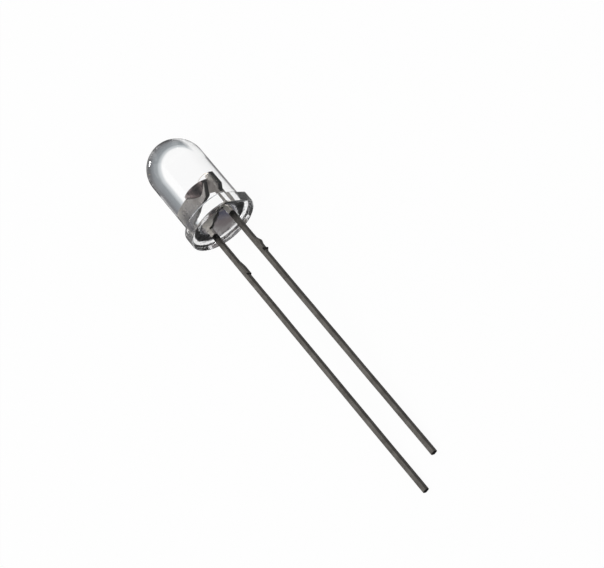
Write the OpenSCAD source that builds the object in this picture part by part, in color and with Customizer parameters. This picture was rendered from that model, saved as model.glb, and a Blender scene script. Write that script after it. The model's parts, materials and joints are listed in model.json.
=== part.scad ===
// Through-hole light-emitting diode, round water-clear lens, lying as it comes to rest:
// on the rim of its flange and on the tips of both leads.
//
// Every piece is drawn upright in the lamp's own datum and then laid down by lie_down().
// Upright datum: the seat (the rim under the flange) is z = 0, the dome points to +z,
// the post lead stands at +x and the anvil lead at -x.

/* [Lens] */
// Diameter of the round body of the lens
body_d = 4.9; // [4.6:0.05:5.2]
// Height from the seat to the top of the dome
lens_h = 8.8; // [8.2:0.1:9.8]
// Diameter of the flange at the foot of the lens
flange_d = 5.85; // [5.6:0.05:6.3]
// Height of the flange
flange_h = 1.0; // [0.7:0.05:1.3]
// How far the flat on the flange stands outside the round body
flat_ledge = 0.06; // [0.03:0.01:0.12]
// Rounding of the flange's two edges
flange_edge_r = 0.04; // [0.02:0.01:0.08]
// Fillet where the round body meets the flange
body_fillet_r = 0.12; // [0.05:0.01:0.18]
// Depth of the hollow under the flange, where the epoxy shrank as it set
pool_depth = 0.3; // [0.1:0.02:0.4]
// Width of the flat rim left round that hollow
pool_rim_w = 0.1; // [0.08:0.01:0.2]
// Width of the hollow's sloping side
pool_slope_w = 0.45; // [0.2:0.05:0.6]

/* [Leads] */
// Distance between the centre lines of the two leads
lead_pitch = 2.54; // [2.3:0.02:2.7]
// Width of each lead, measured across the pair
lead_w = 0.4; // [0.34:0.02:0.5]
// Thickness of the sheet that both lead frames are stamped from
sheet_t = 0.4; // [0.34:0.02:0.5]
// Length of the anvil lead below the seat, the longer of the two
anvil_lead_len = 26.4; // [20:0.1:30]
// Length of the post lead below the seat, the shorter of the two
post_lead_len = 25.0; // [18:0.1:28]
// Distance from the seat down to the stub left by the cut tie bar
tie_stub_drop = 3.2; // [2:0.1:6]
// Length of the stub along the lead
tie_stub_len = 1.35; // [0.8:0.05:2]
// How far the stub stands out of the anvil lead
anvil_stub_out = 0.12; // [0.06:0.01:0.25]
// How far the stub stands out of the post lead
post_stub_out = 0.18; // [0.06:0.01:0.25]
// Slope of the stub's two shoulders, measured along the lead
tie_stub_shoulder = 0.15; // [0.05:0.01:0.3]

/* [Anvil] */
// Height at which the anvil's lower edge leaves its lead
anvil_foot_h = 1.35; // [1.1:0.05:1.6]
// Height of the anvil's lower corner, beyond the lens axis
anvil_corner_h = 2.2; // [2.05:0.05:2.4]
// Distance of that lower corner past the lens axis
anvil_corner_x = 0.36; // [0.1:0.02:0.46]
// Height of the anvil's shoulder above its lead
shoulder_h = 3.3; // [2.9:0.05:3.4]
// Height of the rim of the reflector cup
cup_rim_h = 3.5; // [3.4:0.05:3.8]
// Distance of the cup's own axis from the lens axis, towards the post
cup_offset = 0.15; // [0:0.01:0.2]
// Outer diameter of the head that holds the cup
head_d = 1.5; // [1.3:0.05:1.6]
// Height of the straight band under the head's rim
head_band_h = 0.25; // [0.1:0.05:0.4]
// Height of the head's taper under that band
head_taper_h = 0.75; // [0.5:0.05:0.9]
// Diameter at the foot of the taper, inside the thickness of the sheet
head_root_d = 0.3; // [0.2:0.02:0.34]
// Diameter of the cup's mouth
cup_mouth_d = 1.1; // [0.9:0.05:1.2]
// Diameter of the cup's floor
cup_floor_d = 0.6; // [0.55:0.05:0.8]
// Depth of the cup
cup_depth = 0.42; // [0.36:0.02:0.48]

/* [Post] */
// Height of the post's top, where the wire is stitched
post_top_h = 3.65; // [3.4:0.05:3.9]
// Width of the post's top
post_top_w = 0.62; // [0.5:0.02:0.7]
// Distance that the post stands out past the outer side of its lead
post_overhang = 0.42; // [0.3:0.02:0.5]
// Height at which the post's head widens out of its lead
post_foot_h = 1.95; // [1.6:0.05:2]
// Gap between the anvil and the post, measured along the pair
frame_gap = 0.3; // [0.2:0.02:0.36]

/* [Chip] */
// Side of the square light-emitting chip
chip_w = 0.32; // [0.24:0.02:0.36]
// Height of the chip
chip_h = 0.18; // [0.12:0.01:0.24]
// Diameter of the electrode on the chip's top
electrode_d = 0.12; // [0.1:0.01:0.14]
// Thickness of that electrode
electrode_t = 0.01; // [0.008:0.001:0.014]
// Diameter of the spot of silver glue under the chip
glue_d = 0.5; // [0.46:0.01:0.54]
// Thickness of the glue
glue_t = 0.03; // [0.02:0.005:0.04]

/* [Bond wire] */
// Diameter of the wire
wire_d = 0.025; // [0.02:0.005:0.04]
// Diameter of the ball where the wire leaves the chip
ball_d = 0.08; // [0.06:0.005:0.1]
// Height of that ball
ball_h = 0.04; // [0.03:0.005:0.05]
// Height of the wire's arch over the straight line between its ends
wire_arch_h = 0.35; // [0.25:0.05:0.6]
// Diameter of the flattened stitch on the post
stitch_d = 0.1; // [0.07:0.01:0.12]
// Thickness of the stitch
stitch_t = 0.03; // [0.025:0.005:0.04]

/* [Hidden] */

$fn = 96;
// Length by which one cut or joined shape runs on past another.
overrun = 0.05;

body_r = body_d / 2;
flange_r = flange_d / 2;
flat_x = body_r + flat_ledge;
dome_z = lens_h - body_r;

post_x = lead_pitch / 2;
anvil_x = -lead_pitch / 2;
anvil_inner_x = anvil_x + lead_w / 2;
anvil_outer_x = anvil_x - lead_w / 2;
post_inner_x = post_x - lead_w / 2;
post_outer_x = post_x + lead_w / 2 + post_overhang;

head_r = head_d / 2;
head_right_x = cup_offset + head_r;
head_left_x = cup_offset - head_r;
head_foot_h = cup_rim_h - head_band_h - head_taper_h;
// How far the plate's two top corners are cut back inside the head.
head_step = head_band_h / 2;
cup_floor_h = cup_rim_h - cup_depth;

chip_foot_h = cup_floor_h + glue_t;
electrode_h = chip_foot_h + chip_h;
wire_foot_h = electrode_h + electrode_t;

// The wire is one arch in the plane of the leads, from inside the ball to inside the stitch.
wire_r = wire_d / 2;
wire_start_h = wire_foot_h + ball_h / 2;
stitch_x = post_outer_x - post_top_w / 2;
wire_run = stitch_x - cup_offset;
wire_end_rise = post_top_h + stitch_t / 2 - wire_start_h;
wire_span = norm([wire_run, wire_end_rise]);
wire_tilt = atan2(wire_end_rise, wire_run);
wire_arch_r = (wire_span * wire_span / 4 + wire_arch_h * wire_arch_h) / (2 * wire_arch_h);
wire_half_turn = asin(wire_span / 2 / wire_arch_r);

// Resting attitude. The leads point to +X and the lamp is pitched until its lead tips
// reach the ground, then rolled until both do, because one lead is longer than the other.
tip_skew = (anvil_lead_len - post_lead_len) / lead_pitch;
tip_lever = post_lead_len + tip_skew * (lead_pitch + lead_w) / 2;

// How far the rim, and the underside of a lead, reach below the lens axis at a given slope.
function rim_depth(s) = (flange_r - flange_edge_r) * sqrt(1 - s * s) + flange_edge_r * (1 - s);
function lead_depth(s) = sqrt(1 - s * s * (1 + tip_skew * tip_skew)) * sheet_t / 2;
function settled_slope(s, rounds) =
    rounds == 0 ? s
    : settled_slope((rim_depth(s) - lead_depth(s)) / tip_lever, rounds - 1);

slope = settled_slope(0, 8);
pitch_angle = asin(slope);
roll_angle = -asin(tip_skew * tan(pitch_angle));
axis_h = rim_depth(slope);
tip_end_x = anvil_lead_len * cos(pitch_angle);
dome_end_x = -dome_z * cos(pitch_angle) - body_r;
middle_x = (tip_end_x + dome_end_x) / 2;

// Lays an upright piece down on the ground, with the origin under the middle of its length.
module lie_down() {
    translate([-middle_x, 0, axis_h])
        rotate([roll_angle, pitch_angle, 0])
            rotate([0, 0, 90])
                rotate([-90, 0, 0])
                    children();
}

// Half outline of the lens: flange with rounded edges, filleted round body and dome.
module lens_half_outline() {
    difference() {
        square([flange_r, flange_h]);
        edge_cut(flange_r, flange_h, flange_edge_r, 1);
        edge_cut(flange_r, 0, flange_edge_r, -1);
    }
    square([body_r, dome_z]);
    difference() {
        translate([body_r - overrun, flange_h - overrun])
            square(body_fillet_r + overrun);
        translate([body_r + body_fillet_r, flange_h + body_fillet_r])
            circle(r = body_fillet_r);
    }
    intersection() {
        translate([0, dome_z])
            circle(r = body_r);
        translate([0, dome_z - overrun])
            square([body_d, body_d]);
    }
}

// What rounding takes off an outer corner at [x, z]; side is 1 at the top and -1 at the foot.
module edge_cut(x, z, r, side) {
    difference() {
        translate([x - r, side > 0 ? z - r : z - overrun])
            square(r + overrun);
        translate([x - r, z - side * r])
            circle(r = r);
    }
}

// Upright lens before the pieces inside it are taken out.
module lens_body() {
    difference() {
        rotate_extrude()
            lens_half_outline();
        translate([flat_x, -flange_r, -overrun])
            cube([flange_r, flange_d, flange_h + 2 * overrun]);
        pool_space();
    }
}

// Hollow under the flange, which stops short of the flat too.
module pool_space() {
    mouth_r = flange_r - pool_rim_w + overrun * pool_slope_w / pool_depth;
    floor_r = flange_r - pool_rim_w - pool_slope_w;
    intersection() {
        translate([0, 0, -overrun])
            cylinder(h = pool_depth + overrun, r1 = mouth_r, r2 = floor_r);
        translate([-flange_d, -flange_r, -2 * overrun])
            cube([flange_d + flat_x - pool_rim_w, flange_d, flange_h]);
    }
}

// Straight square lead from its tip up to top_h.
module straight_lead(x, len, top_h) {
    translate([x - lead_w / 2, -sheet_t / 2, -len])
        cube([lead_w, sheet_t, len + top_h]);
}

// Stub of the cut tie bar on the +x side of a lead.
module tie_stub(x, out) {
    side_x = x + lead_w / 2;
    top_z = -tie_stub_drop;
    foot_z = top_z - tie_stub_len;
    sheet_cut([
        [side_x - overrun, top_z],
        [side_x, top_z],
        [side_x + out, top_z - tie_stub_shoulder],
        [side_x + out, foot_z + tie_stub_shoulder],
        [side_x, foot_z],
        [side_x - overrun, foot_z]
    ]);
}

// A shape stamped from the sheet: its outline is given as [x, z] points.
module sheet_cut(outline) {
    translate([0, sheet_t / 2, 0])
        rotate([90, 0, 0])
            linear_extrude(sheet_t)
                polygon(outline);
}

// Upright anvil lead: long lead, plate, and the head with its reflector cup.
module anvil_shape() {
    difference() {
        union() {
            straight_lead(anvil_x, anvil_lead_len, anvil_foot_h + overrun);
            tie_stub(anvil_x, anvil_stub_out);
            sheet_cut([
                [anvil_outer_x, anvil_foot_h],
                [anvil_inner_x, anvil_foot_h],
                [anvil_corner_x, anvil_corner_h],
                [head_right_x, cup_rim_h - head_band_h],
                [head_right_x - head_step, cup_rim_h - head_step],
                [head_left_x + head_step, cup_rim_h - head_step],
                [anvil_outer_x, shoulder_h]
            ]);
            translate([cup_offset, 0, cup_rim_h - head_band_h])
                cylinder(h = head_band_h, r = head_r);
            translate([cup_offset, 0, head_foot_h])
                cylinder(h = head_taper_h, d1 = head_root_d, d2 = head_d);
        }
        cup_space();
    }
}

// Space inside the reflector cup.
module cup_space() {
    cup_slope = (cup_mouth_d - cup_floor_d) / cup_depth;
    translate([cup_offset, 0, cup_floor_h])
        cylinder(h = cup_depth + overrun, d1 = cup_floor_d, d2 = cup_mouth_d + cup_slope * overrun);
}

// Upright post lead: short lead and the head that the bond wire is stitched to.
module post_shape() {
    straight_lead(post_x, post_lead_len, post_foot_h + overrun);
    tie_stub(post_x, post_stub_out);
    sheet_cut([
        [post_inner_x, post_foot_h],
        [post_x + lead_w / 2, post_foot_h],
        [post_outer_x, post_foot_h + post_overhang],
        [post_outer_x, post_top_h],
        [post_outer_x - post_top_w, post_top_h],
        [head_right_x + frame_gap, cup_rim_h - head_band_h],
        [anvil_corner_x + frame_gap, anvil_corner_h]
    ]);
}

// Upright spot of silver glue on the floor of the cup.
module glue_shape() {
    translate([cup_offset, 0, cup_floor_h])
        cylinder(h = glue_t, d = glue_d);
}

// Upright chip with the round electrode on its top.
module chip_shape() {
    translate([cup_offset - chip_w / 2, -chip_w / 2, chip_foot_h])
        cube([chip_w, chip_w, chip_h]);
    translate([cup_offset, 0, electrode_h - electrode_t])
        cylinder(h = 2 * electrode_t, d = electrode_d);
}

// Upright bond wire: ball on the chip, arch, and stitch on the post.
module wire_shape() {
    translate([cup_offset, 0, wire_foot_h])
        cylinder(h = ball_h, d = ball_d);
    translate([cup_offset + wire_run / 2, 0, wire_start_h + wire_end_rise / 2])
        rotate([90, 0, 0])
            rotate([0, 0, wire_tilt])
                translate([0, wire_arch_h - wire_arch_r])
                    rotate([0, 0, 90 - wire_half_turn])
                        rotate_extrude(angle = 2 * wire_half_turn)
                            translate([wire_arch_r, 0])
                                circle(r = wire_r);
    translate([stitch_x, 0, post_top_h])
        cylinder(h = stitch_t, d = stitch_d);
}

module lens() {
    color([0.86, 0.9, 0.92, 0.35])
        lie_down()
            difference() {
                lens_body();
                anvil_shape();
                post_shape();
                glue_shape();
                chip_shape();
                wire_shape();
            }
}

module anvil_lead() {
    color([0.46, 0.44, 0.42])
        lie_down()
            anvil_shape();
}

module post_lead() {
    color([0.5, 0.48, 0.44])
        lie_down()
            post_shape();
}

module chip_glue() {
    color([0.72, 0.72, 0.7])
        lie_down()
            glue_shape();
}

module chip() {
    color([0.62, 0.6, 0.42])
        lie_down()
            chip_shape();
}

module bond_wire() {
    color([0.83, 0.66, 0.3])
        lie_down()
            wire_shape();
}

lens();
anvil_lead();
post_lead();
chip_glue();
chip();
bond_wire();
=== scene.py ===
"""Through-hole light-emitting diode with a water-clear lens, dressed for the studio.

The lamp lies on the floor, on the rim of its flange and on the tips of its leads. All sizes are
in millimetres in the lamp's own upright datum, whose seat is z = 0, whose dome points to +z and
whose post lead stands at +x; Datum turns them into metres in the frame that the CAD uses.
"""

import json
import logging
import math
from dataclasses import dataclass, field, replace
from enum import Enum

import bmesh
import bpy
import numpy as np
from mathutils import Matrix, Vector


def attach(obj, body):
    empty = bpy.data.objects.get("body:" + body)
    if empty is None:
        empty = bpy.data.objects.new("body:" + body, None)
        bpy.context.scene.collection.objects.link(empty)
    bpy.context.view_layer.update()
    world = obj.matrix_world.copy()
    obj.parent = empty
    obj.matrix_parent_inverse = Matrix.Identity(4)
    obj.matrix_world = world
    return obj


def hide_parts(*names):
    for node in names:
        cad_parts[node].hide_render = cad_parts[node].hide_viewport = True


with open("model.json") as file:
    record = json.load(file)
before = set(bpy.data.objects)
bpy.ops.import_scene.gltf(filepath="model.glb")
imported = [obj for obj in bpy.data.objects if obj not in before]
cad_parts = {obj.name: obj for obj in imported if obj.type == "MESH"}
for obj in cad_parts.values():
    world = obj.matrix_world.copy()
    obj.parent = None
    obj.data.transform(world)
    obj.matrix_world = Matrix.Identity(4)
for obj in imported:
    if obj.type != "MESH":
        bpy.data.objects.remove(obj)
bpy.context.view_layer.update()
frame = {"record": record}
MM = 0.001
ROOT = "root"
log = logging.getLogger("led")

Point = tuple[float, float, float]
Colour = tuple[float, float, float]
Range = tuple[float, float]
Steps = tuple[tuple[float, Colour], ...]
Outline = list[tuple[float, float]]
Faces = list[tuple[int, ...]]
Material = bpy.types.Material
Piece = bpy.types.Object
Socket = bpy.types.NodeSocket

WHITE: Colour = (1.0, 1.0, 1.0)
CLOSED = 1e-9


# ---------------- the lamp's datum


@dataclass(frozen=True)
class Datum:
    """The lamp's upright axes, as they lie in the frame."""

    origin: Vector
    x_axis: Vector
    y_axis: Vector
    z_axis: Vector

    @classmethod
    def from_record(cls, record: dict) -> "Datum":
        """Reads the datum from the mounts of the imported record.

        Args:
            record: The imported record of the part.

        Returns:
            The datum with its origin at the middle of the seat.
        """
        mounts = {m["name"]: m for m in record["mounts"]}
        barrel = Vector(mounts["barrel"]["pos_m"])
        up = Vector(mounts["barrel"]["axis"]).normalized()
        seat = barrel + up * (Vector(mounts["seat"]["pos_m"]) - barrel).dot(up)
        across = Vector(mounts["post_lead_end"]["pos_m"]) - Vector(mounts["anvil_lead_end"]["pos_m"])
        across = (across - up * across.dot(up)).normalized()
        return cls(seat, across, up.cross(across), up)

    def turn(self, direction: Point) -> Vector:
        """Turns a direction of the lamp's datum into the frame."""
        return self.x_axis * direction[0] + self.y_axis * direction[1] + self.z_axis * direction[2]

    def place(self, point: Point) -> Vector:
        """Places a point of the lamp's datum, in millimetres, in the frame, in metres."""
        return self.origin + self.turn(point) * MM

    def place_all(self, points: np.ndarray) -> np.ndarray:
        """Places many points at once, one to a row."""
        axes = np.array([self.x_axis, self.y_axis, self.z_axis])
        return np.array(self.origin) + points @ axes * MM


# ---------------- materials


class NodeTree:
    """A short way to wire up the nodes of a material or of the sky."""

    def __init__(self, owner: Material | bpy.types.World) -> None:
        """Takes up the nodes of a material or a sky.

        Args:
            owner: The material or sky.
        """
        owner.use_nodes = True
        self.owner = owner
        self.tree = owner.node_tree
        self.shader = self.tree.nodes.get("Principled BSDF")
        self.coords: Socket | None = None

    @classmethod
    def material(cls, name: str) -> "NodeTree":
        """Starts a material with a Principled shader and its output."""
        return cls(bpy.data.materials.new(name))

    def node(self, kind: str, inputs: dict | None = None, **settings: object) -> bpy.types.Node:
        """Adds a node.

        Args:
            kind: Type name of the node, less the ShaderNode that it starts with.
            inputs: Values or sockets by input name or index.
            **settings: Properties set on the node.

        Returns:
            The new node.
        """
        made = self.tree.nodes.new(f"ShaderNode{kind}")
        for key, value in settings.items():
            setattr(made, key, value)
        for key, value in (inputs or {}).items():
            self.feed(made.inputs[key], value)
        return made

    def feed(self, socket: Socket, value: object) -> None:
        """Links a socket to another, or sets its value.

        Args:
            socket: The input to fill.
            value: A socket to link from, or a plain value.
        """
        if isinstance(value, Socket):
            self.tree.links.new(value, socket)
        else:
            socket.default_value = value

    def millimetres(self) -> Socket:
        """Object coordinates in millimetres, shared by all the textures of the material."""
        if self.coords is None:
            source = self.node("TexCoord").outputs["Object"]
            self.coords = self.node("Mapping", {"Vector": source, "Scale": (1 / MM,) * 3}).outputs[0]
        return self.coords

    def stretched(self, scale: Point) -> Socket:
        """Coordinates in millimetres, stretched by a scale along each of the frame's axes."""
        return self.node("Mapping", {"Vector": self.millimetres(), "Scale": scale}).outputs[0]

    def noise(self, scale: float, detail: float = 3.0, rough: float = 0.55, at: object = None) -> Socket:
        """Cloudy noise from 0 to 1, with scale grains to the millimetre, at the coordinates given."""
        inputs = {"Vector": at or self.millimetres(), "Scale": scale, "Detail": detail, "Roughness": rough}
        return self.node("TexNoise", inputs).outputs["Fac"]

    def spread(
        self, value: Socket, low: float, high: float, to_low: float = 0.0, to_high: float = 1.0
    ) -> Socket:
        """Maps the range from low to high onto that from to_low to to_high, held at both ends."""
        ends = {"From Min": low, "From Max": high, "To Min": to_low, "To Max": to_high}
        return self.node("MapRange", {"Value": value, **ends}).outputs["Result"]

    def maths(self, operation: str, first: object, second: object) -> Socket:
        """Joins two values with the named operation."""
        return self.node("Math", {0: first, 1: second}, operation=operation).outputs[0]

    def blend(self, share: object, first: object, second: object, mode: str = "MIX") -> Socket:
        """Mixes two colours or sockets, by the share of the second."""
        a, b = ((*c, 1.0) if isinstance(c, tuple) else c for c in (first, second))
        return self.node("Mix", {0: share, 6: a, 7: b}, data_type="RGBA", blend_type=mode).outputs[2]

    def bump(self, height: Socket, depth_mm: float, under: Socket | None = None) -> Socket:
        """Turns a height of up to depth_mm into a bumped normal, on a coarser one if there is one."""
        coarse = {"Normal": under} if under else {}
        return self.node("Bump", {"Height": height, "Distance": depth_mm * MM, **coarse}).outputs[0]

    def dress(self, colour: object, roughness: Socket, normal: Socket, metal: float = 0.0) -> Material:
        """Wires up the shader.

        Args:
            colour: Colour of the surface.
            roughness: Its roughness.
            normal: Its bumped normal.
            metal: How far it is a metal.

        Returns:
            The finished material.
        """
        inputs = {"Base Color": colour, "Roughness": roughness, "Normal": normal, "Metallic": metal}
        for name, value in inputs.items():
            self.feed(self.shader.inputs[name], value)
        return self.owner


@dataclass(frozen=True)
class ClearEpoxy:
    """Water-clear cast epoxy, glossy from the mould, with faint waves."""

    name: str = "clear_epoxy"
    index: float = 1.53
    clear: float = 1.0
    haze: float = 0.012
    haze_grain: float = 0.7
    wave_mm: float = 0.0012
    wave_scale: float = 0.9
    fine_mm: float = 0.0
    fine_scale: float = 6.0

    def material(self) -> Material:
        """Builds the epoxy's material."""
        t = NodeTree.material(self.name)
        t.shader.inputs["IOR"].default_value = self.index
        t.shader.inputs["Transmission Weight"].default_value = self.clear
        cloud = t.noise(self.wave_scale * self.haze_grain, 2.0)
        normal = t.bump(t.noise(self.wave_scale, 1.0), self.wave_mm)
        if self.fine_mm > 0:
            normal = t.bump(t.noise(self.fine_scale, 3.0, 0.6), self.fine_mm, under=normal)
        return t.dress((*WHITE, 1.0), t.spread(cloud, 0.35, 0.75, 0.0, self.haze), normal)


# The flange's wall, cast against the mould's land, is a little uneven and milky.
MOULD_LAND = ClearEpoxy(
    "epoxy_land", clear=0.95, haze=0.16, wave_mm=0.02, wave_scale=1.6, fine_mm=0.0015
)
# The seat set in the open, rippled and speckled.
FREE_SURFACE = ClearEpoxy(
    "epoxy_free_surface", haze=0.07, wave_mm=0.075, wave_scale=1.5, fine_mm=0.02, fine_scale=4.0
)


@dataclass(frozen=True)
class TinnedSteel:
    """Tin-plated steel, painted dark grey-brown as painted shade, with rolling marks along the leads.

    The leads are darker near the lens, between two places along the frame's x.
    """

    name: str = "tinned_steel"
    bright: Colour = (0.127, 0.12, 0.11)
    dull: Colour = (0.072, 0.067, 0.061)
    roughness: float = 0.38
    marks: float = 1.0
    darker_span: Range | None = (-8.45, -8.1)
    drawn_out: Point = (0.35, 6.0, 6.0)
    mark_scale: float = 2.2
    mark_mm: float = 0.003
    patch_scale: float = 1.3
    patch_mm: float = 0.006
    speck_scale: float = 9.0
    speck_tone: float = 0.6
    span_tone: float = 0.4

    def darker(self, tone: float) -> Colour:
        """The dull colour, brought down to a share of itself."""
        return tuple(tone * c for c in self.dull)

    def material(self) -> Material:
        """Builds the plating's material."""
        t = NodeTree.material(self.name)
        drawn = t.noise(self.mark_scale, 3.0, 0.6, at=t.stretched(self.drawn_out))
        patch = t.noise(self.patch_scale, 4.0, 0.6)
        speck = t.noise(self.speck_scale, 2.0, 0.5)
        tone = t.blend(t.spread(patch, 0.32, 0.68), self.bright, self.dull)
        tone = t.blend(t.spread(speck, 0.58, 0.75, 0.0, 0.55), tone, self.darker(self.speck_tone))
        if self.darker_span is not None:
            along_x = t.node("SeparateXYZ", {0: t.millimetres()}).outputs["X"]
            near_lens = t.spread(along_x, *self.darker_span, 1.0, 0.0)
            tone = t.blend(near_lens, tone, self.darker(self.span_tone))
        wear = t.spread(drawn, 0.3, 0.7, self.roughness - 0.05, self.roughness + 0.07)
        coarse = t.bump(patch, self.patch_mm * self.marks)
        return t.dress(tone, wear, t.bump(drawn, self.mark_mm * self.marks, under=coarse), metal=1.0)


# Inside the lens the plating keeps the tin's bright colour; the leads outside are painted darker as painted
# shade.
KEPT_TIN = TinnedSteel("kept_tin", (0.56, 0.53, 0.49), (0.44, 0.415, 0.38), 0.3, 0.5, None)
# The head and its cup, painted dark brown as painted shade: the plated cup would mirror the dark room.
SHADED_CUP = TinnedSteel("cup_painted_shade", (0.22, 0.175, 0.172), (0.085, 0.064, 0.063), 0.2, 0.3, None)


@dataclass(frozen=True)
class StampedEdge:
    """Edge of the stamped strip: burnished where the punch went in, torn where it broke through."""

    # Both colours are painted nearly black, as painted shade in the gaps between and under the plates.
    burnished: Colour = (0.04, 0.038, 0.03)
    torn: Colour = (0.004, 0.0038, 0.003)
    grazing: float = 0.25
    roughness: Range = (0.3, 0.65)
    break_line: Range = (-0.12, -0.05)
    ragged: float = 0.12
    tear_scale: float = 6.0
    tear_mm: float = 0.01

    def material(self, datum: Datum) -> Material:
        """Builds the edge's material.

        Args:
            datum: The lamp's datum, whose y axis runs through the strip's thickness.

        Returns:
            The material.
        """
        t = NodeTree.material("stamped_edge_painted_shade")
        vectors = {0: t.millimetres(), 1: datum.y_axis}
        through = t.node("VectorMath", vectors, operation="DOT_PRODUCT").outputs["Value"]
        middle = datum.origin.dot(datum.y_axis) / MM
        tear = t.noise(self.tear_scale, 3.0, 0.6)
        place = t.maths("ADD", through, t.spread(tear, 0.3, 0.7, -self.ragged, self.ragged))
        share = t.spread(place, *(middle + line for line in self.break_line))
        t.shader.inputs["Specular Tint"].default_value = (*(self.grazing,) * 3, 1.0)
        tone = t.blend(share, self.burnished, self.torn)
        wear = t.spread(share, 0.0, 1.0, *self.roughness)
        return t.dress(tone, wear, t.bump(tear, self.tear_mm), metal=1.0)


@dataclass(frozen=True)
class GrainedFinish:
    """A finish whose two colours, roughness and relief all follow one fine grain."""

    name: str
    first: Colour
    second: Colour
    shared: Range
    roughness: Range
    depth_mm: float
    metal: float
    scale: float
    stretch: Point = (1.0, 1.0, 1.0)
    worn: Range = (0.2, 0.8)
    detail: float = 2.0
    rough: float = 0.5

    def grain(self, t: NodeTree) -> Socket:
        """The grain, from 0 to 1."""
        return t.noise(self.scale, self.detail, self.rough, at=t.stretched(self.stretch))

    def material(self) -> Material:
        """Builds the material."""
        t = NodeTree.material(self.name)
        grain = self.grain(t)
        tone = t.blend(t.spread(grain, *self.shared), self.first, self.second)
        wear = t.spread(grain, *self.worn, *self.roughness)
        return t.dress(tone, wear, t.bump(grain, self.depth_mm), self.metal)


@dataclass(frozen=True)
class FlakedFinish(GrainedFinish):
    """A finish whose grain is of flakes."""

    def grain(self, t: NodeTree) -> Socket:
        """The flakes, from the middle of each to its edge."""
        return t.node("TexVoronoi", {"Vector": t.millimetres(), "Scale": self.scale}).outputs["Distance"]


# Bare steel where a lead or a tie bar was cut, torn, and painted nearly black as painted shade.
SHEARED_STEEL = GrainedFinish(
    "sheared_steel", first=(0.014, 0.013, 0.012), second=(0.003, 0.0028, 0.0025), shared=(0.4, 0.62),
    roughness=(0.45, 0.8), depth_mm=0.02, metal=0.7, scale=7.0, stretch=(1.0, 2.5, 1.0),
    detail=4.0, rough=0.7,
)
# Silver-filled epoxy paste under the chip, from the flakes' colour to the resin's.
SILVER_GLUE = FlakedFinish(
    "silver_glue", first=(0.74, 0.73, 0.70), second=(0.42, 0.41, 0.40), shared=(0.1, 0.6),
    roughness=(0.3, 0.6), depth_mm=0.004, metal=0.6, scale=60.0, worn=(0.0, 0.7),
)
# Sawn semiconductor crystal, dark olive with fine saw marks.
CHIP_CRYSTAL = GrainedFinish(
    "chip_crystal", first=(0.36, 0.34, 0.20), second=(0.16, 0.15, 0.10), shared=(0.35, 0.65),
    roughness=(0.2, 0.42), depth_mm=0.002, metal=0.0, scale=20.0, stretch=(1.0, 1.0, 6.0),
)
# Drawn gold of the bond wire and the chip's electrode.
GOLD_WIRE = GrainedFinish(
    "gold_wire", first=(0.86, 0.63, 0.26), second=(0.62, 0.43, 0.17), shared=(0.35, 0.65),
    roughness=(0.18, 0.34), depth_mm=0.001, metal=1.0, scale=12.0, stretch=(0.5, 4.0, 1.0),
)


# ---------------- making pieces


def add(name: str, data: bpy.types.ID | None) -> Piece:
    """Adds an object with its data to the scene."""
    made = bpy.data.objects.new(name, data)
    bpy.context.scene.collection.objects.link(made)
    return made


class Shading(Enum):
    """How a piece's faces take the light: the angle, in degrees, past which an edge is sharp."""

    SMOOTH = 180.0
    CREASED = 32.0


@dataclass
class Bench:
    """What the pieces are made with: the lamp's datum and every finish, built once."""

    datum: Datum
    epoxy: Material = field(default_factory=ClearEpoxy().material)
    land: Material = field(default_factory=MOULD_LAND.material)
    pool: Material = field(default_factory=FREE_SURFACE.material)
    # The leads outside the lens, painted darker than the tin inside it: painted shade.
    tin: Material = field(default_factory=TinnedSteel().material)
    kept: Material = field(default_factory=KEPT_TIN.material)
    cup: Material = field(default_factory=SHADED_CUP.material)
    sheared: Material = field(default_factory=SHEARED_STEEL.material)
    glue: Material = field(default_factory=SILVER_GLUE.material)
    crystal: Material = field(default_factory=CHIP_CRYSTAL.material)
    gold: Material = field(default_factory=GOLD_WIRE.material)
    # The plates' edges, painted nearly black as painted shade.
    edge: Material = field(init=False)

    def __post_init__(self) -> None:
        """Builds the finish that depends on how the lamp lies."""
        self.edge = StampedEdge().material(self.datum)

    def piece(
        self, name: str, points: np.ndarray, faces: Faces, looks: list[Material],
        indices: list[int] | None = None, shading: Shading = Shading.CREASED,
    ) -> Piece:
        """Makes a closed piece, with every face turned outward.

        Args:
            name: Name of the piece.
            points: Its corners in the lamp's datum.
            faces: Corner numbers of each face.
            looks: The piece's finishes.
            indices: Which finish each face has, or None for the first.
            shading: How its faces meet.

        Returns:
            The new object, linked to the scene.
        """
        mesh = bpy.data.meshes.new(name)
        mesh.from_pydata(self.datum.place_all(points).tolist(), [], faces)
        mesh.validate()
        for look in looks:
            mesh.materials.append(look)
        if indices is not None:
            mesh.polygons.foreach_set("material_index", indices)
        mesh.polygons.foreach_set("use_smooth", [True] * len(mesh.polygons))
        if shading is Shading.CREASED:
            mesh.set_sharp_from_angle(angle=math.radians(shading.value))
        work = bmesh.new()
        work.from_mesh(mesh)
        bmesh.ops.recalc_face_normals(work, faces=work.faces)
        work.to_mesh(mesh)
        work.free()
        return add(name, mesh)


def ring_faces(rows: int, ring: int) -> Faces:
    """Quads between rings of equal size, ring after ring."""
    starts = [(row * ring, k, (k + 1) % ring) for row in range(rows - 1) for k in range(ring)]
    return [(a + k, a + after, a + ring + after, a + ring + k) for a, k, after in starts]


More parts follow.
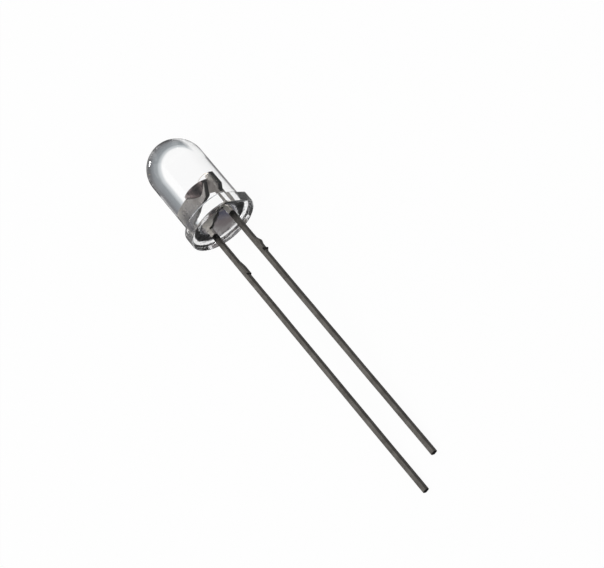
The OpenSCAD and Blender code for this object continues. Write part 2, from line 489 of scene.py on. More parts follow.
def lathe(profile: Outline, around: int) -> tuple[np.ndarray, Faces]:
    """Turns a profile about the lamp's axis.

    Args:
        profile: Points (radius, height); a radius of 0 at an end closes it.
        around: Corners to the turn.

    Returns:
        The corners and the faces.
    """
    angles = np.linspace(0, 2 * math.pi, around, endpoint=False)
    inner = [p for p in profile if p[0] > CLOSED]
    points = [(r * math.cos(a), r * math.sin(a), z) for r, z in inner for a in angles]
    faces = ring_faces(len(inner), around)
    if profile[0][0] <= CLOSED:
        points.append((0.0, 0.0, profile[0][1]))
        faces += [(len(points) - 1, (k + 1) % around, k) for k in range(around)]
    if profile[-1][0] <= CLOSED:
        points.append((0.0, 0.0, profile[-1][1]))
        last = (len(inner) - 1) * around
        faces += [(len(points) - 1, last + k, last + (k + 1) % around) for k in range(around)]
    return np.array(points), faces


@dataclass(frozen=True)
class Bevel:
    """Rolled edges, and how far the corners are shaken where the metal is torn."""

    width: float = 0.03
    segments: int = 3
    shake: float = 0.0
    seed: int = 0

    def form(self, rings: list[list[Point]]) -> tuple[np.ndarray, Faces]:
        """Makes a closed form through rings of corners, with all its edges bevelled.

        Args:
            rings: Rings of equal size, in order.

        Returns:
            The corners and the faces.
        """
        work = bmesh.new()
        corners = [[work.verts.new(p) for p in ring] for ring in rings]
        work.faces.new(corners[0])
        work.faces.new(list(reversed(corners[-1])))
        for low, high in zip(corners, corners[1:]):
            for k in range(len(low)):
                after = (k + 1) % len(low)
                work.faces.new((low[after], low[k], high[k], high[after]))
        bmesh.ops.recalc_face_normals(work, faces=work.faces)
        size = {"offset": self.width, "segments": self.segments}
        bmesh.ops.bevel(work, geom=list(work.edges), profile=0.5, affect="EDGES", **size)
        work.verts.index_update()
        points = np.array([v.co[:] for v in work.verts])
        faces = [tuple(v.index for v in f.verts) for f in work.faces]
        work.free()
        random = np.random.default_rng(self.seed)
        return points + random.uniform(-self.shake, self.shake, points.shape), faces


def arc(centre: Range, radius: float, start: float, end: float, steps: int) -> Outline:
    """Points along an arc from one angle to another, in degrees, with both ends among them."""
    angles = [math.radians(start + (end - start) * k / steps) for k in range(steps + 1)]
    return [(centre[0] + radius * math.cos(a), centre[1] + radius * math.sin(a)) for a in angles]


def smooth_wave(t: np.ndarray, seed: int, span: float) -> np.ndarray:
    """A slow wandering value along a length.

    Args:
        t: Places along the length, in millimetres.
        seed: Seed of the wander.
        span: Typical distance between its swings, in millimetres.

    Returns:
        Values within about -1 and 1.
    """
    random = np.random.default_rng(seed)
    value = np.zeros_like(t, dtype=float)
    waves, tallest = 5, 3.2
    for _ in range(waves):
        length = span * random.uniform(0.6, 2.4)
        value += random.uniform(0.4, 1.0) * np.sin(2 * math.pi * (t / length + random.uniform()))
    return value / tallest


# ---------------- the lens


@dataclass
class Lens:
    """The cast epoxy: flange with its flat, filleted round body, dome and the seat's free surface."""

    body_d: float = 4.9
    height: float = 8.8
    flange_d: float = 5.85
    flange_h: float = 1.0
    flat_ledge: float = 0.06
    flat_soft: float = 0.025
    flat_side: float = 0.2
    edge_r: float = 0.05
    fillet_r: float = 0.12
    lead_pitch: float = 2.54
    lead_w: float = 0.4
    pool_depth: float = 0.3
    pool_rim: float = 0.25
    climb_h: float = 0.06
    climb_reach: float = 0.12
    around: int = 288
    pool_rings: int = 44
    dome_end: float = 89.2

    def outer_radius(self, angle: float) -> float:
        """Radius of the flange at an angle, cut back by the flat."""
        full = self.flange_d / 2
        if math.cos(angle) <= self.flat_side:
            return full
        reach = (self.body_d / 2 + self.flat_ledge) / math.cos(angle)
        gap = max(-1.0, min(1.0, (reach - full) / (2 * self.flat_soft)))
        if abs(gap) == 1.0:
            return min(reach, full)
        return (reach + full) / 2 - self.flat_soft * (1 + gap * gap) / 2

    def wall_profile(self) -> list[Point]:
        """The outside from the seat's rim to the top of the dome.

        Returns:
            Points (radius, height, share), where share is how much of the flat's cut they take.
        """
        r, full, e, f = self.body_d / 2, self.flange_d / 2, self.edge_r, self.fillet_r
        rows = [(x, z, 1.0) for x, z in arc((full - e, e), e, -90, 0, 5)]
        rows += [(full, e + (self.flange_h - 2 * e) * k / 4, 1.0) for k in range(1, 4)]
        rows += [(x, z, 1.0) for x, z in arc((full - e, self.flange_h - e), e, 0, 90, 5)]
        rows += [(x, z, 0.0) for x, z in arc((r + f, self.flange_h + f), f, 270, 180, 6)]
        start, dome = self.flange_h + f, self.height - r
        rows += [(r, start + (dome - start) * k / 20, 0.0) for k in range(1, 20)]
        rows += [(x, z, 0.0) for x, z in arc((0.0, dome), r, 0, self.dome_end, 56)]
        return rows

    def seat_height(self, x: float, y: float) -> float:
        """Height of the seat's free surface, which sinks a little and climbs the leads.

        Args:
            x: Place across the pair.
            y: Place square to the pair.

        Returns:
            The height.
        """
        rim = self.outer_radius(math.atan2(y, x)) - self.edge_r
        inward = rim - math.hypot(x, y)
        z = self.pool_depth * (1 - math.exp(-max(inward, 0.0) / self.pool_rim))
        half = self.lead_w / 2
        for lead_x in (-self.lead_pitch / 2, self.lead_pitch / 2):
            away = math.hypot(max(abs(x - lead_x) - half, 0.0), max(abs(y) - half, 0.0))
            z -= self.climb_h * math.exp(-away / self.climb_reach)
        return z

    def corners(self, angles: list[float]) -> list[Point]:
        """Rings of corners, from the middle of the seat out and up to the top of the dome.

        Args:
            angles: Where the corners of a ring stand.

        Returns:
            The corners, ring after ring.
        """
        points: list[Point] = []
        for k in range(1, self.pool_rings + 1):
            for a in angles:
                r = (self.outer_radius(a) - self.edge_r) * (k / (self.pool_rings + 1))
                x, y = r * math.cos(a), r * math.sin(a)
                points.append((x, y, self.seat_height(x, y)))
        limit = self.body_d / 2 + self.flat_ledge
        for r, z, share in self.wall_profile():
            for a in angles:
                radius = r + (self.outer_radius(a) - self.flange_d / 2) * share
                if share == 0.0 and z < self.flange_h + self.edge_r and math.cos(a) > 0:
                    radius = min(radius, limit / math.cos(a))
                points.append((radius * math.cos(a), radius * math.sin(a), z))
        return points

    def build(self, bench: Bench) -> Piece:
        """Builds the closed lens, which stands for the CAD's lens.

        Args:
            bench: What the lens is made with.

        Returns:
            The lens.
        """
        points = self.corners([2 * math.pi * k / self.around for k in range(self.around)])
        rows = len(points) // self.around
        faces = ring_faces(rows, self.around)
        points += [(0.0, 0.0, self.seat_height(0.0, 0.0)), (0.0, 0.0, self.height)]
        foot, top, last = len(points) - 2, len(points) - 1, (rows - 1) * self.around
        faces += [(foot, (k + 1) % self.around, k) for k in range(self.around)]
        faces += [(top, last + k, last + (k + 1) % self.around) for k in range(self.around)]
        epoxy, land, pool = range(3)
        wall = self.pool_rings + len([row for row in self.wall_profile() if row[2] > 0])
        looks = [pool if k < self.pool_rings else land if k < wall else epoxy for k in range(rows - 1)]
        indices = [look for look in (*looks, pool, epoxy) for _ in range(self.around)]
        finishes = [bench.epoxy, bench.land, bench.pool]
        piece = bench.piece("lens_epoxy", np.array(points), faces, finishes, indices, Shading.SMOOTH)
        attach(piece, ROOT)
        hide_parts("lens")
        return piece


# ---------------- the lead frames


@dataclass
class Strip:
    """The stamped strip that both lead frames are cut from.

    The collar is the height over which a lead is darkened where it leaves the epoxy, and the cut
    end that above its tip. The swings are how far apart a lead's wander, across the pair and
    square to it, and its swell come round.
    The tip gives heights over a lead's end, and how far the shear has pinched the lead there.
    """

    width: float = 0.4
    sheet: float = 0.4
    corner_r: float = 0.045
    wander: float = 0.008
    swell: float = 0.006
    swings: Point = (7.0, 9.0, 2.5)
    held: Range = (0.2, 3.0)
    collar: Range = (-0.35, 0.08)
    cut_end: float = 0.1
    tip_h: float = 0.12
    tip: tuple[Range, ...] = ((0.08, 0.0), (0.05, 0.004), (0.02, 0.014), (0.0, 0.03))
    tip_lean: float = 0.04
    burr: float = 0.012
    rows: int = 320

    def section(self) -> Outline:
        """Cross-section of a lead, with rolled corners."""
        c = self.corner_r
        w, t = self.width / 2 - c, self.sheet / 2 - c
        corners = (((w, t), 0), ((-w, t), 90), ((-w, -t), 180), ((w, -t), 270))
        return [p for centre, turn in corners for p in arc(centre, c, turn, turn + 90, 4)]

    def shank(self, bench: Bench, name: str, x: float, length: float, top: float, seed: int) -> Piece:
        """A straight lead with a faint wander and a sheared end.

        Args:
            bench: What the lead is made with.
            name: Name of the piece.
            x: Where the lead stands across the pair.
            length: Its length below the seat.
            top: How far it runs up inside the lens.
            seed: Seed of its wander.

        Returns:
            The lead.
        """
        section = np.array(self.section())
        ring = len(section)
        tip_z, tip_pinch = np.array(self.tip).T
        stations = np.concatenate((np.linspace(top, self.tip_h - length, self.rows), tip_z - length))
        pinch = np.concatenate((np.zeros(self.rows), tip_pinch))
        waves = [smooth_wave(stations, seed + k, span) for k, span in enumerate(self.swings)]
        free, reach = self.held
        loose = np.clip((-stations - free) / reach, 0, 1)
        points = []
        for z, s, dx, dy, g, h in zip(stations, pinch, *waves, loose):
            scale = 1 - s / (self.width / 2) + self.swell * g * h / self.width
            slope = self.tip_lean * s / tip_pinch[-1]
            for px, py in section * scale:
                points.append((x + px + self.wander * dx * h, py + self.wander * dy * h, z + slope * px))
        faces = ring_faces(len(stations), ring)
        # Inside the lens the lead is the bright tin, outside it the tin painted darker as painted shade; a
        # band at the exit is darkened, and the cut end is painted nearly black as painted shade.
        tin, sheared, kept = range(3)
        low, high = self.collar
        cut_from = self.cut_end - length
        kinds = [kept if z > high else sheared if z > low or z < cut_from else tin for z in stations[:-1]]
        indices = [kind for kind in kinds for _ in range(ring)]
        end = (len(stations) - 1) * ring
        random = np.random.default_rng(seed + 5)
        previous = end
        for step in (0.7, 0.4):
            base = len(points)
            for px, py, pz in points[end:end + ring]:
                burr = random.uniform(-self.burr, self.burr)
                points.append((x + (px - x) * step, py * step, pz + burr))
            for k in range(ring):
                after = (k + 1) % ring
                faces.append((previous + k, previous + after, base + after, base + k))
            previous = base
        faces += [tuple(range(previous, previous + ring)), tuple(reversed(range(ring)))]
        indices += [sheared] * (2 * ring + 1) + [kept]
        looks = [bench.tin, bench.sheared, bench.kept]
        return bench.piece(name, np.array(points), faces, looks, indices)

    def plate(
        self, bench: Bench, name: str, outline: Outline, looks: list[Material], bevel: Bevel = Bevel()
    ) -> Piece:
        """A shape stamped from the strip, with rolled edges.

        Args:
            bench: What the plate is made with.
            name: Name of the piece.
            outline: Points (x, z) round the shape.
            looks: The finish of its faces, and that of its edges if it is another.
            bevel: Its rolled edges.

        Returns:
            The plate.
        """
        half, turned = self.sheet / 2, 0.6
        rings = [[(x, y, z) for x, z in outline] for y in (-half, half)]
        points, faces = bevel.form(rings)
        indices = [0] * len(faces)
        if len(looks) > 1:
            for number, face in enumerate(faces):
                a, b, c = (points[k] for k in face[:3])
                normal = np.cross(b - a, c - a)
                indices[number] = int(abs(normal[1]) < turned * np.linalg.norm(normal))
        return bench.piece(name, points, faces, looks, indices)


@dataclass
class TieStub:
    """The stub that the cut tie bar leaves on a lead: two torn prongs on a low shelf.

    Each prong gives its place past the shelf's shoulder, its height and its reach as a share of
    the stub's.
    """

    drop: float = 3.2
    length: float = 1.35
    out: float = 0.18
    shelf: float = 0.45
    shoulder: float = 0.15
    sunk: float = 0.1
    root: float = 0.06
    nose: float = 0.04
    prongs: tuple[Point, Point] = ((-0.16, 0.85, 1.0), (0.1, 0.3, 0.95))
    thickness: Point = (0.94, 0.9, 1.04)
    rolled: Bevel = Bevel(0.02)
    torn: Bevel = Bevel(0.018, shake=0.006)

    def prong(self, z: float, tall: float, reach: float) -> Outline:
        """Outline of a prong.

        Args:
            z: Height of its nose.
            tall: Its height.
            reach: How far it stands out.

        Returns:
            Points (out, height).
        """
        upper = [(-self.root, z + 0.6 * tall), (0.0, z + 0.6 * tall), (0.5 * reach, z + 0.3 * tall)]
        nose = [(reach, z + self.nose), (reach, z - self.nose)]
        lower = [(0.55 * reach, z - tall / 3), (0.0, z - tall / 2), (-self.root, z - tall / 2)]
        return upper + nose + lower

    def build(self, bench: Bench, name: str, side_x: float, strip: Strip, seed: int) -> list[Piece]:
        """Builds the stub.

        Args:
            bench: What the stub is made with.
            name: Name of the piece.
            side_x: The side of the lead that it stands on.
            strip: The strip that the lead is cut from.
            seed: Seed of the tear.

        Returns:
            The stub's pieces.
        """
        top, foot, s = -self.drop, -self.drop - self.length, self.shoulder
        low = self.out * self.shelf
        shelf = [(-self.sunk, top + s), (0.0, top + s), (0.5 * low, top - s), (low, top - 3 * s)]
        shelf += [(low, foot + s), (0.0, foot), (-self.sunk, foot)]
        parts = [(name, shelf, bench.tin, self.rolled)]
        # The second prong takes the sheared steel, whose near-black is painted shade.
        starts, looks = (top - s, foot + s), (bench.tin, bench.sheared)
        for number, ((shift, tall, share), start, look) in enumerate(zip(self.prongs, starts, looks)):
            outline = self.prong(start + shift, tall, self.out * share)
            parts.append((f"{name}_{number + 1}", outline, look, replace(self.torn, seed=seed + number)))
        made = []
        for share, (title, outline, look, bevel) in zip(self.thickness, parts):
            cut = replace(strip, sheet=strip.sheet * share)
            placed = [(side_x + out, z) for out, z in outline]
            made.append(cut.plate(bench, title, placed, [look], bevel))
        return made


@dataclass
class Lead:
    """What both leads have: a shank up into the lens, what stands on it there, and a stub."""

    name: str
    x: float
    length: float
    foot_h: float
    seeds: tuple[int, int]
    overlap: float = 0.3
    sunk: float = 0.1
    strip: Strip = field(default_factory=Strip)
    stub: TieStub = field(default_factory=TieStub)

    def foot(self) -> Outline:
        """The foot of the plate, which laps over the shank."""
        low, half = self.foot_h - self.overlap, self.strip.width / 2
        return [(self.x - half, low), (self.x + half, low), (self.x + half, self.foot_h)]

    def heads(self, bench: Bench) -> list[Piece]:
        """Makes what stands on the shank."""
        raise NotImplementedError

    def parts(self, bench: Bench) -> list[Piece]:
        """Makes the lead's pieces, which all ride on the root.

        Args:
            bench: What the lead is made with.

        Returns:
            The shank, what stands on it and the stub.
        """
        strip, name, (wander, tear) = self.strip, self.name, self.seeds
        top, side = self.foot_h - self.sunk, self.x + strip.width / 2
        shank = strip.shank(bench, f"{name}_shank", self.x, self.length, top, wander)
        made = [shank, *self.heads(bench), *self.stub.build(bench, f"{name}_stub", side, strip, tear)]
        for piece in made:
            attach(piece, ROOT)
        return made


@dataclass
class AnvilLead(Lead):
    """The long lead, its plate and the head with the reflector cup."""

    name: str = "anvil_lead"
    x: float = -1.27
    length: float = 26.4
    foot_h: float = 1.35
    corner_h: float = 2.2
    corner_x: float = 0.36
    shoulder_h: float = 3.3
    rim_h: float = 3.5
    head_d: float = 1.5
    band_h: float = 0.25
    taper_h: float = 0.75
    root_d: float = 0.3
    mouth_d: float = 1.1
    floor_d: float = 0.6
    depth: float = 0.42
    rim_r: float = 0.03
    soft: float = 0.02
    offset: float = 0.15
    seeds: tuple[int, int] = (11, 31)
    stub: TieStub = field(
        default_factory=lambda: TieStub(out=0.12, shelf=0.85, prongs=((-0.5, 0.6, 0.9), (-0.02, 0.2, 0.75)))
    )

    def outline(self) -> Outline:
        """Outline of the plate, from the lead's outer side round to the shoulder."""
        head, step = self.head_d / 2, self.band_h / 2
        return [
            *self.foot(),
            (self.corner_x, self.corner_h),
            (self.offset + head - self.soft, self.rim_h - self.band_h),
            (self.offset + head - step, self.rim_h - step),
            (self.offset - head + step, self.rim_h - step),
            (self.x - self.strip.width / 2, self.shoulder_h),
        ]

    def head_profile(self) -> Outline:
        """Half section of the head and its cup."""
        head, rim, e, soft = self.head_d / 2, self.rim_h, self.rim_r, self.soft
        band, cup = rim - self.band_h, rim - self.depth
        mouth, floor = self.mouth_d / 2, self.floor_d / 2
        rows = [(0.0, band - self.taper_h), (self.root_d / 2, band - self.taper_h)]
        rows += [(head - soft, band - soft), (head, band + soft), *arc((head - e, rim - e), e, 0, 90, 4)]
        rows += [(mouth + e, rim), (mouth, rim - soft), (floor + e, cup + soft), (floor, cup), (0.0, cup)]
        return rows

    def heads(self, bench: Bench) -> list[Piece]:
        """Makes the plate, and the head with its cup."""
        plate = self.strip.plate(bench, "anvil_lead_plate", self.outline(), [bench.kept, bench.edge])
        points, faces = lathe(self.head_profile(), 96)
        points[:, 0] += self.offset
        return [plate, bench.piece("anvil_lead_head", points, faces, [bench.cup])]

    def build(self, bench: Bench) -> list[Piece]:
        """Builds the long lead with everything on it, which stands for the CAD's anvil lead.

        Args:
            bench: What the lead is made with.

        Returns:
            The lead's pieces.
        """
        lead, *others = self.parts(bench)
        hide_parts("anvil_lead")
        return [lead, *others]


@dataclass
class PostLead(Lead):
    """The short lead and the head that the wire is stitched to."""

    name: str = "post_lead"
    x: float = 1.27
    length: float = 25.0
    foot_h: float = 1.95
    top_h: float = 3.65
    top_w: float = 0.62
    overhang: float = 0.42
    gap: float = 0.3
    seeds: tuple[int, int] = (71, 41)
    anvil: AnvilLead = field(default_factory=AnvilLead)
    strip: Strip = field(default_factory=lambda: Strip(collar=(0.0, 0.08)))

    def outline(self) -> Outline:
        """Outline of the post's head."""
        half, anvil = self.strip.width / 2, self.anvil
        outer = self.x + half + self.overhang
        return [
            *self.foot(),
            (outer, self.foot_h + self.overhang),
            (outer, self.top_h),
            (outer - self.top_w, self.top_h),
            (anvil.offset + anvil.head_d / 2 + self.gap, anvil.rim_h - anvil.band_h),
            (anvil.corner_x + self.gap, anvil.corner_h),
            (self.x - half, self.foot_h),
        ]

    def heads(self, bench: Bench) -> list[Piece]:
        """Makes the head."""
        return [self.strip.plate(bench, "post_lead_head", self.outline(), [bench.kept, bench.edge])]

    def build(self, bench: Bench) -> list[Piece]:
        """Builds the short lead with everything on it, which stands for the CAD's post lead.

        Args:
            bench: What the lead is made with.

        Returns:
            The lead's pieces.
        """
        lead, *others = self.parts(bench)
        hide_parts("post_lead")
        return [lead, *others]


# ---------------- chip, glue and wire


@dataclass
class ChipMount:
    """The glue, the chip with its electrode, and the bond wire.

    A profile gives its points as shares of a radius and of a height.
    """

    floor_h: float = 3.08
    chip_w: float = 0.32
    chip_h: float = 0.18
    chip_lean: float = 0.02
    lean_from: float = 0.6
    chip_bevel: Bevel = Bevel(0.008, segments=2)
    electrode_d: float = 0.12
    electrode_t: float = 0.01
    electrode_edge: float = 0.004
    glue_d: float = 0.5
    glue_t: float = 0.03
    glue_wobble: float = 0.03
    glue_lobes: int = 3
    glue_phase: float = 0.7
    glue_shape: tuple[Range, ...] = (
        (0.0, 0.0), (0.97, 0.0), (1.0, 2 / 15), (0.985, 0.35), (0.94, 0.7), (0.88, 0.95), (0.8, 1.25),
        (0.66, 1.3), (0.0, 1.0),
    )
    wire_d: float = 0.025
    wire_sides: int = 14
    wire_steps: int = 72
    pressed_steps: int = 8
    pressed: Range = (1.1, 0.45)
    ball_d: float = 0.08
    ball_h: float = 0.04
    ball_shape: tuple[Range, ...] = (
        (0.0, 0.0), (0.8, 0.0), (1.0, 0.3), (0.96, 0.62), (0.7, 0.9), (0.42, 1.0), (0.0, 1.05),
    )
    arch_h: float = 0.35
    offset: float = 0.15
    stitch_x: float = 1.58
    stitch_h: float = 3.65
    stitch_d: float = 0.1
    stitch_t: float = 0.03
    stitch_shape: tuple[Range, ...] = ((0.0, 0.0), (1.0, 0.0), (0.94, 0.4), (0.6, 2.6 / 3), (0.0, 1.0))

    def top(self) -> float:
        """Height of the electrode's top."""
        return self.floor_h + self.glue_t + self.chip_h + self.electrode_t

    def glue(self, bench: Bench) -> Piece:
        """The spot of glue, whose edge thins out and whose middle is squeezed up round the chip."""
        r, t = self.glue_d / 2, self.glue_t
        points, faces = lathe([(r * wide, t * high) for wide, high in self.glue_shape], 72)
        lobes = self.glue_lobes * np.arctan2(points[:, 1], points[:, 0]) + self.glue_phase
        points[:, :2] *= 1 + self.glue_wobble * np.sin(lobes)[:, None]
        points += (self.offset, 0.0, self.floor_h)
        piece = bench.piece("chip_glue_spot", points, faces, [bench.glue])
        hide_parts("chip_glue")
        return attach(piece, ROOT)

    def chip(self, bench: Bench) -> Piece:
        """The chip, with sawn sides that lean in a little at the top and a round electrode."""
        base, half, thin = self.floor_h + self.glue_t, self.chip_w / 2, self.electrode_edge
        top, pad_top = base + self.chip_h, self.top()
        sizes = ((base, half), (base + self.lean_from * self.chip_h, half), (top, half - self.chip_lean))
        square = ((1, 1), (-1, 1), (-1, -1), (1, -1))
        rings = [[(self.offset + sx * w, sy * w, z) for sx, sy in square] for z, w in sizes]
        points, faces = self.chip_bevel.form(rings)
        r, soft = self.electrode_d / 2, top + self.electrode_t * 0.7
        ring = [(0.0, top - thin), (r, top - thin), (r, soft), (r - thin, pad_top), (0.0, pad_top)]
        pad, pad_faces = lathe(ring, 40)
        indices = [0] * len(faces) + [1] * len(pad_faces)
        faces += [tuple(len(points) + k for k in f) for f in pad_faces]
        points = np.concatenate((points, pad + (self.offset, 0.0, 0.0)))
        piece = bench.piece("chip_crystal_block", points, faces, [bench.crystal, bench.gold], indices)
        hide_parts("chip")
        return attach(piece, ROOT)

    def wire_path(self) -> np.ndarray:
        """Middle line of the wire, from the ball up over the arch and down to the stitch."""
        start = np.array([self.offset, self.top() + self.ball_h / 2])
        end = np.array([self.stitch_x, self.stitch_h + self.stitch_t / 2])
        span = np.linalg.norm(end - start)
        radius = (span * span / 4 + self.arch_h * self.arch_h) / (2 * self.arch_h)
        half = math.asin(span / 2 / radius)
        tilt = math.atan2(end[1] - start[1], end[0] - start[0])
        turn = np.linspace(half, -half, self.wire_steps)
        along, rise = -radius * np.sin(turn), radius * np.cos(turn) - radius + self.arch_h
        c, s = math.cos(tilt), math.sin(tilt)
        x, z = (start + end) / 2
        return np.stack((x + along * c - rise * s, z + along * s + rise * c), axis=1)

    def wire(self, bench: Bench) -> Piece:
        """The gold wire with its ball and its flattened stitch."""
        path = self.wire_path()
        ahead = np.gradient(path, axis=0)
        ahead /= np.linalg.norm(ahead, axis=1)[:, None]
        sides, last, r = self.wire_sides, len(path) - 1, self.wire_d / 2
        widened, thinned = self.pressed
        points: list[Point] = []
        for k, ((px, pz), (tx, tz)) in enumerate(zip(path, ahead)):
            late = max(0.0, (k - last + self.pressed_steps) / self.pressed_steps)
            wide, flat = 1 + widened * late, 1 - thinned * late
            for a in np.linspace(0, 2 * math.pi, sides, endpoint=False):
                up, out = math.cos(a) * r * flat, math.sin(a) * r * wide
                points.append((px - tz * up, out, pz + tx * up))
        faces = ring_faces(len(path), sides)
        faces += [tuple(reversed(range(sides))), tuple(range(last * sides, (last + 1) * sides))]
        ball = (self.ball_shape, self.ball_d / 2, self.ball_h, self.offset, self.top())
        stitch = (self.stitch_shape, self.stitch_d / 2, self.stitch_t, self.stitch_x, self.stitch_h)
        for shape, radius, height, x, foot in (ball, stitch):
            profile = [(radius * wide, foot + height * high) for wide, high in shape]
            turned, turned_faces = lathe(profile, 32)
            faces += [tuple(len(points) + k for k in f) for f in turned_faces]
            points += [(p[0] + x, p[1], p[2]) for p in turned]
        piece = bench.piece("bond_wire_gold", np.array(points), faces, [bench.gold])
        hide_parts("bond_wire")
        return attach(piece, ROOT)

    def build(self, bench: Bench) -> list[Piece]:
        """Builds the glue, the chip and the wire."""
        return [self.glue(bench), self.chip(bench), self.wire(bench)]


# ---------------- camera and studio


@dataclass(frozen=True)
class ViewCamera:
    """Where the camera stands, measured from the lamp's own axes."""

    lean: float = 23.04
    turn: float = 30.05
    roll: float = 40.23
    distance: float = 117.97
    aim_across: float = 6.132
    aim_down: float = 4.658
    focal: float = 90.36

    def axes(self, datum: Datum) -> tuple[Vector, Vector, Vector]:
        """The image's right and down, and the way to the camera, in the frame.

        Args:
            datum: The lamp's datum.

        Returns:
            The three unit vectors.
        """
        lean, turn, roll = (math.radians(v) for v in (self.lean, self.turn, self.roll))
        foot, near, right = Vector((0, 0, -1)), Vector((0, -1, 0)), Vector((1, 0, 0))
        side = near * math.cos(turn) + right * math.sin(turn)
        out = foot * math.sin(lean) + side * math.cos(lean)
        across = right * math.cos(turn) - near * math.sin(turn)
        down = foot * math.cos(lean) - side * math.sin(lean)
        image_x = across * math.cos(roll) + down * math.sin(roll)
        image_y = down * math.cos(roll) - across * math.sin(roll)
        return datum.turn(image_x), datum.turn(image_y), datum.turn(out)

    def build(self, datum: Datum) -> None:
        """Adds the camera and makes it the scene's own.

        Args:
            datum: The lamp's datum.
        """
        image_x, image_y, out = self.axes(datum)
        data = bpy.data.cameras.new("view_camera")
        data.sensor_width = 36.0
        data.lens = self.focal
        data.clip_start = 0.002
        data.clip_end = 20.0
        made = add("view_camera", data)
        place = out * self.distance + image_x * self.aim_across + image_y * self.aim_down
        turn = Matrix((image_x, -image_y, out)).transposed()
        made.matrix_world = Matrix.Translation(datum.origin + place * MM) @ turn.to_4x4()
        bpy.context.scene.camera = made


@dataclass(frozen=True)
class ClearSky:
    """What glass and metal see round the lamp: a white side, a painted shadow, a dim ceiling and a flag."""

    # Below the horizon the glass sees the floor round the lamp, painted dark as its painted shadow except
    # towards the open way.
    open_way: Point = (-0.57, -0.58, -0.535)
    floor_shadow: Steps = (
        (-0.62, WHITE),
        (-0.38, (0.08, 0.083, 0.09)),
        (0.30, (0.03, 0.031, 0.035)),
        (0.50, (0.11, 0.115, 0.125)),
        (0.62, (0.205, 0.22, 0.235)),
        (0.77, (0.27, 0.293, 0.31)),
        (0.83, (0.55, 0.58, 0.60)),
        (0.88, WHITE),
    )
    side_way: Point = (-0.82, 0.53, -0.22)
    side: Steps = ((0.85, (0.0, 0.0, 0.0)), (0.92, WHITE))
    below: Range = (-0.18, -0.34)
    ceiling: Steps = (
        (0.18, WHITE),
        (0.34, (0.24, 0.23, 0.23)),
        (0.60, (0.13, 0.112, 0.115)),
        (0.80, (0.06, 0.06, 0.09)),
        (1.00, (0.03, 0.03, 0.06)),
    )
    flag_way: Point = (-0.86, -0.28, -0.42)
    flag: Steps = ((0.93, WHITE), (0.97, (0.12, 0.12, 0.13)))
    # Below the horizon metal sees a grey floor, darker towards one side: painted shade.
    metal: Range = (0.28, 0.62)
    metal_reach: float = 0.3
    room_level: float = 0.75

    def steps(self, t: NodeTree, value: Socket, stops: Steps) -> Socket:
        """Turns a value into a colour by steps.

        Args:
            t: The sky's nodes.
            value: The value, from -1 to 1.
            stops: Pairs of a value and its colour, in rising order.

        Returns:
            The colour.
        """
        ramp = t.node("ValToRGB", {0: t.spread(value, -1.0, 1.0)})
        ramp.color_ramp.interpolation = "EASE"
        marks = ramp.color_ramp.elements
        for number, (at, tone) in enumerate(stops):
            place = (at + 1) / 2
            mark = marks[number] if number < 2 else marks.new(place)
            mark.position = place
            mark.color = (*tone, 1.0)
        return ramp.outputs[0]

    def around(self, t: NodeTree, way: Socket, aim: Point, stops: Steps) -> Socket:
        """Turns the cosine between a ray's way and an aim, of any length, into a colour by steps."""
        dot = t.node("VectorMath", {0: way, 1: Vector(aim).normalized()}, operation="DOT_PRODUCT")
        return self.steps(t, dot.outputs["Value"], stops)

    def build(self) -> None:
        """Builds the sky, which differs for clear, glossy, camera and all other rays."""
        world = bpy.data.worlds.new("studio_sky")
        bpy.context.scene.world = world
        t = NodeTree(world)
        t.tree.nodes.clear()
        way = t.node("TexCoord").outputs["Generated"]
        split = t.node("SeparateXYZ", {0: way}).outputs
        low = t.spread(split["Z"], *self.below)
        floor_shadow = self.around(t, way, self.open_way, self.floor_shadow)
        beside = self.around(t, way, self.side_way, self.side)
        tone = t.blend(low, WHITE, t.blend(1.0, floor_shadow, beside, mode="LIGHTEN"))
        tone = t.blend(1.0, tone, self.steps(t, split["Z"], self.ceiling), mode="MULTIPLY")
        tone = t.blend(1.0, tone, self.around(t, way, self.flag_way, self.flag), mode="MULTIPLY")
        metal = t.spread(split["Y"], -self.metal_reach, self.metal_reach, *self.metal)
        rays = (
            ("Is Glossy Ray", t.blend(low, WHITE, metal), self.room_level),
            ("Is Transmission Ray", tone, 1.0),
            ("Is Camera Ray", (*WHITE, 1.0), 1.0),
        )
        path = t.node("LightPath").outputs
        made = t.node("Background", {"Color": (*WHITE, 1.0), "Strength": self.room_level})
        for ray, colour, level in rays:
            shade = t.node("Background", {"Color": colour, "Strength": level})
            made = t.node("MixShader", {0: path[ray], 1: made.outputs[0], 2: shade.outputs[0]})
        t.node("OutputWorld", {0: made.outputs[0]})


@dataclass(frozen=True)
class SoftLamp:
    """A rectangular soft lamp, placed from the lamp's own axes.

    The way is given across the image to the right, down it and towards the camera.
    """

    name: str
    way: Point
    size: Range
    distance: float
    radiance: float

    def build(self, datum: Datum, camera: ViewCamera) -> None:
        """Adds the lamp.

        Args:
            datum: The lamp's datum.
            camera: The camera.
        """
        image_x, image_y, out = camera.axes(datum)
        aim = datum.place((0.0, 0.0, 4.0))
        way = (image_x * self.way[0] + image_y * self.way[1] + out * self.way[2]).normalized()
        data = bpy.data.lights.new(self.name, "AREA")
        data.shape = "RECTANGLE"
        data.size, data.size_y = self.size
        data.energy = self.radiance * math.pi * self.size[0] * self.size[1]
        made = add(self.name, data)
        made.location = aim + way * self.distance
        made.rotation_euler = (-way).to_track_quat("-Z", "Y").to_euler()


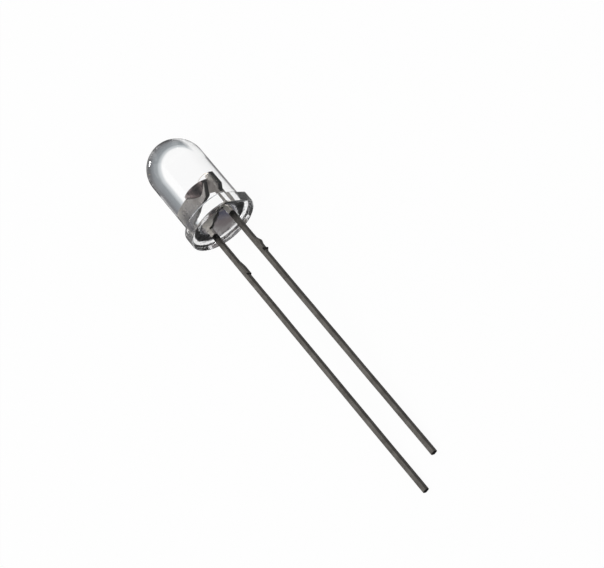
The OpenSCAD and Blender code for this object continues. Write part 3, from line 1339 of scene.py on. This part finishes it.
@dataclass
class Studio:
    """White sheet, clear sky and two soft lamps."""

    half_width: float = 0.6
    sheet_colour: Colour = (0.92, 0.92, 0.92)
    white_share: float = 0.95
    sky: ClearSky = field(default_factory=ClearSky)
    window: SoftLamp = SoftLamp("window", (-0.79, -0.185, -0.53), (0.05, 0.075), 0.35, 13.0)
    overhead: SoftLamp = SoftLamp("overhead", (-0.905, 0.096, 0.269), (0.35, 0.35), 0.45, 0.9)

    def sheet(self) -> None:
        """Lays the white sheet that the lamp lies on."""
        mesh = bpy.data.meshes.new("paper_sheet")
        w = self.half_width
        mesh.from_pydata([(-w, -w, 0), (w, -w, 0), (w, w, 0), (-w, w, 0)], [], [(0, 1, 2, 3)])
        t = NodeTree.material("white_paper")
        t.tree.nodes.remove(t.shader)
        matt = t.node("BsdfDiffuse", {"Color": (*self.sheet_colour, 1.0)})
        white = t.node("Emission", {"Color": (*WHITE, 1.0), "Strength": 1.0})
        share = t.maths("MULTIPLY", t.node("LightPath").outputs["Is Camera Ray"], self.white_share)
        mixed = t.node("MixShader", {0: share, 1: matt.outputs[0], 2: white.outputs[0]})
        out = next(n for n in t.tree.nodes if n.type == "OUTPUT_MATERIAL")
        t.feed(out.inputs["Surface"], mixed.outputs[0])
        mesh.materials.append(t.owner)
        made = add("paper_sheet", mesh)
        made.visible_transmission = False
        made.visible_glossy = False

    def build(self, datum: Datum, camera: ViewCamera) -> None:
        """Sets up the sheet, the sky and the lamps.

        Args:
            datum: The lamp's datum.
            camera: The camera.
        """
        self.sheet()
        self.sky.build()
        self.window.build(datum, camera)
        self.overhead.build(datum, camera)


def report(pieces: list[Piece]) -> None:
    """Logs each of the pieces just made, with its size."""
    for piece in pieces:
        log.info("%s: %d corners, %d faces", piece.name, len(piece.data.vertices), len(piece.data.polygons))


def main() -> None:
    """Builds the lamp, the camera and the studio."""
    logging.basicConfig(level=logging.INFO, format="%(name)s: %(message)s")
    datum = Datum.from_record(frame["record"])
    camera = ViewCamera()
    camera.build(datum)
    bench = Bench(datum)
    report([Lens().build(bench)])
    report(AnvilLead().build(bench))
    report(PostLead().build(bench))
    report(ChipMount().build(bench))
    Studio().build(datum, camera)
    bpy.context.scene.view_settings.view_transform = "Standard"


if __name__ == "__main__":
    main()
